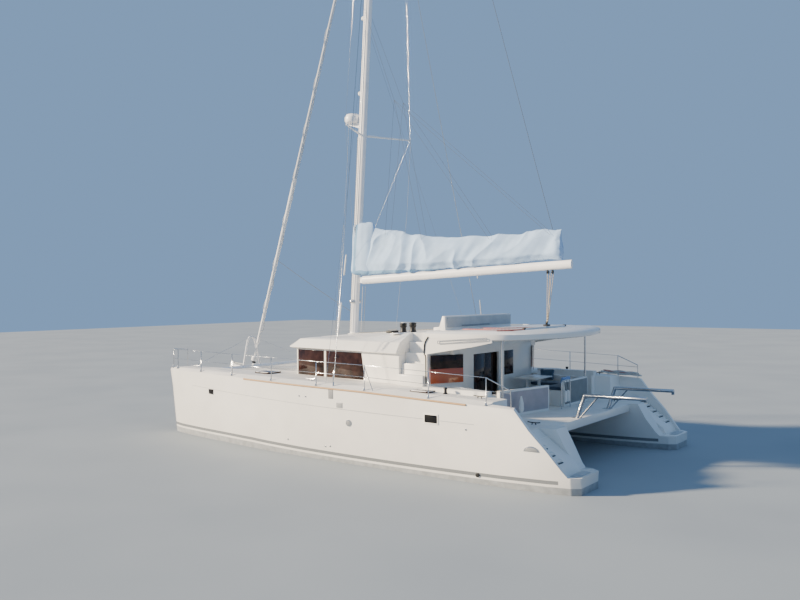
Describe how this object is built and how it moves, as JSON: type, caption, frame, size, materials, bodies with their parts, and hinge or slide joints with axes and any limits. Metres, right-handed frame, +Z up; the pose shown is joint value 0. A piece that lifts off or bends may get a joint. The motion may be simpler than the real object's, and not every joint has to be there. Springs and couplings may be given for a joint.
{
  "type": "cruising sailing catamaran with flybridge",
  "caption": "Two-hulled cruising yacht afloat: white decked hulls, hollow deckhouse, flybridge and hardtop, tall mast with boom, stacked mainsail under its cover and furled headsail",
  "frame": {"origin": "amidships on the centreline, on the plane of the still water", "axes": "+X to the bow, +Y to port, +Z up"},
  "size_m": [15.26, 7.764, 25.7],
  "materials": {
    "gelcoat": "white polished gelcoat",
    "antifoul": "matt grey antifouling paint",
    "painted_alloy": "white lacquered aluminium",
    "bronze": "cast bronze",
    "net": "white knotless polyester net",
    "steel": "polished stainless steel",
    "dark_glass": "dark tinted acrylic",
    "cushion": "dark blue grey woven acrylic",
    "fabric": "pale grey blue woven acrylic canvas"
  },
  "bodies": {
    "root": {"anchor": "steel", "bench_aft": "gelcoat", "bench_side": "gelcoat", "bow_spine": "painted_alloy", "bridgedeck": "gelcoat", "bulkhead": "gelcoat", "coachroof": "gelcoat", "cockpit_table": "gelcoat", "crossbeam": "painted_alloy", "cushion_aft": "cushion", "cushion_side": "cushion", "davit_port": "steel", "davit_starboard": "steel", "door_fixed": "painted_alloy", "door_sill": "painted_alloy", "drive_leg_port": "painted_alloy", "drive_leg_starboard": "painted_alloy", "glass_front": "dark_glass", "glass_port": "dark_glass", "glass_starboard": "dark_glass", "hardtop": "gelcoat", "house_front": "gelcoat", "house_port": "gelcoat", "house_starboard": "gelcoat", "hull_port": "gelcoat", "hull_starboard": "gelcoat", "keel_port": "antifoul", "keel_starboard": "antifoul", "mast": "painted_alloy", "net_port": "net", "net_starboard": "net", "post_port": "steel", "post_starboard": "steel", "radome": "painted_alloy", "rail_port": "steel", "rail_starboard": "steel", "shroud_port": "steel", "shroud_starboard": "steel", "stairs_port": "gelcoat", "stairs_starboard": "gelcoat", "striker_arch": "painted_alloy"},
    "boom": {"boom": "painted_alloy", "sail_cover": "fabric"},
    "rudder_port": {"rudder_port": "antifoul"},
    "rudder_starboard": {"rudder_starboard": "antifoul"},
    "steering_wheel": {"steering_wheel": "steel"},
    "propeller_port": {"propeller_port": "bronze"},
    "propeller_starboard": {"propeller_starboard": "bronze"},
    "door": {"door_sliding": "painted_alloy"},
    "hatch_fore_port": {"hatch_fore_port": "dark_glass"},
    "hatch_fore_starboard": {"hatch_fore_starboard": "dark_glass"},
    "hatch_aft_port": {"hatch_aft_port": "dark_glass"},
    "hatch_aft_starboard": {"hatch_aft_starboard": "dark_glass"},
    "headsail": {"headsail_furled": "fabric"}
  },
  "joints": [
    {"name": "boom_swing", "type": "hinge", "parent": "root", "child": "boom", "pos_m": [1.76, 0, 4.65], "axis": [0, 0, 1], "range_deg": [-50, 50]},
    {"name": "rudder_port_turn", "type": "hinge", "parent": "root", "child": "rudder_port", "pos_m": [-5.15, 3.05, -0.5], "axis": [0, 0, 1], "range_deg": [-35, 35]},
    {"name": "rudder_starboard_turn", "type": "hinge", "parent": "root", "child": "rudder_starboard", "pos_m": [-5.15, -3.05, -0.5], "axis": [0, 0, 1], "range_deg": [-36, 36]},
    {"name": "wheel_turn", "type": "hinge", "parent": "root", "child": "steering_wheel", "pos_m": [-1.62, -0.42, 3.27], "axis": [1, 0, 0], "range_deg": [-362, 362]},
    {"name": "propeller_port_spin", "type": "hinge", "parent": "root", "child": "propeller_port", "pos_m": [-3.56, 3.05, -0.76], "axis": [1, 0, 0], "continuous": true},
    {"name": "propeller_starboard_spin", "type": "hinge", "parent": "root", "child": "propeller_starboard", "pos_m": [-3.56, -3.05, -0.76], "axis": [1, 0, 0], "continuous": true},
    {"name": "door_slide", "type": "slide", "parent": "root", "child": "door", "axis": [0, 1, 0], "range_m": [0, 0.6]},
    {"name": "headsail_furl", "type": "hinge", "parent": "root", "child": "headsail", "pos_m": [6.56, 0, 1.88], "axis": [-0.3141, 0, 0.9494], "continuous": true},
    {"name": "hatch_fore_port_lift", "type": "hinge", "parent": "root", "child": "hatch_fore_port", "pos_m": [3.18, 2.85, 1.996], "axis": [0, 1, 0], "range_deg": [0, 80]},
    {"name": "hatch_fore_starboard_lift", "type": "hinge", "parent": "root", "child": "hatch_fore_starboard", "pos_m": [3.18, -2.85, 1.996], "axis": [0, 1, 0], "range_deg": [0, 80]},
    {"name": "hatch_aft_port_lift", "type": "hinge", "parent": "root", "child": "hatch_aft_port", "pos_m": [-2.64, 3.4, 1.906], "axis": [0, 1, 0], "range_deg": [0, 80]},
    {"name": "hatch_aft_starboard_lift", "type": "hinge", "parent": "root", "child": "hatch_aft_starboard", "pos_m": [-2.64, -3.4, 1.906], "axis": [0, 1, 0], "range_deg": [0, 80]}
  ],
  "couplings": [
    {"joint": "rudder_starboard_turn", "follows": "rudder_port_turn", "ratio": 1},
    {"joint": "wheel_turn", "follows": "rudder_port_turn", "ratio": 10.286}
  ]
}
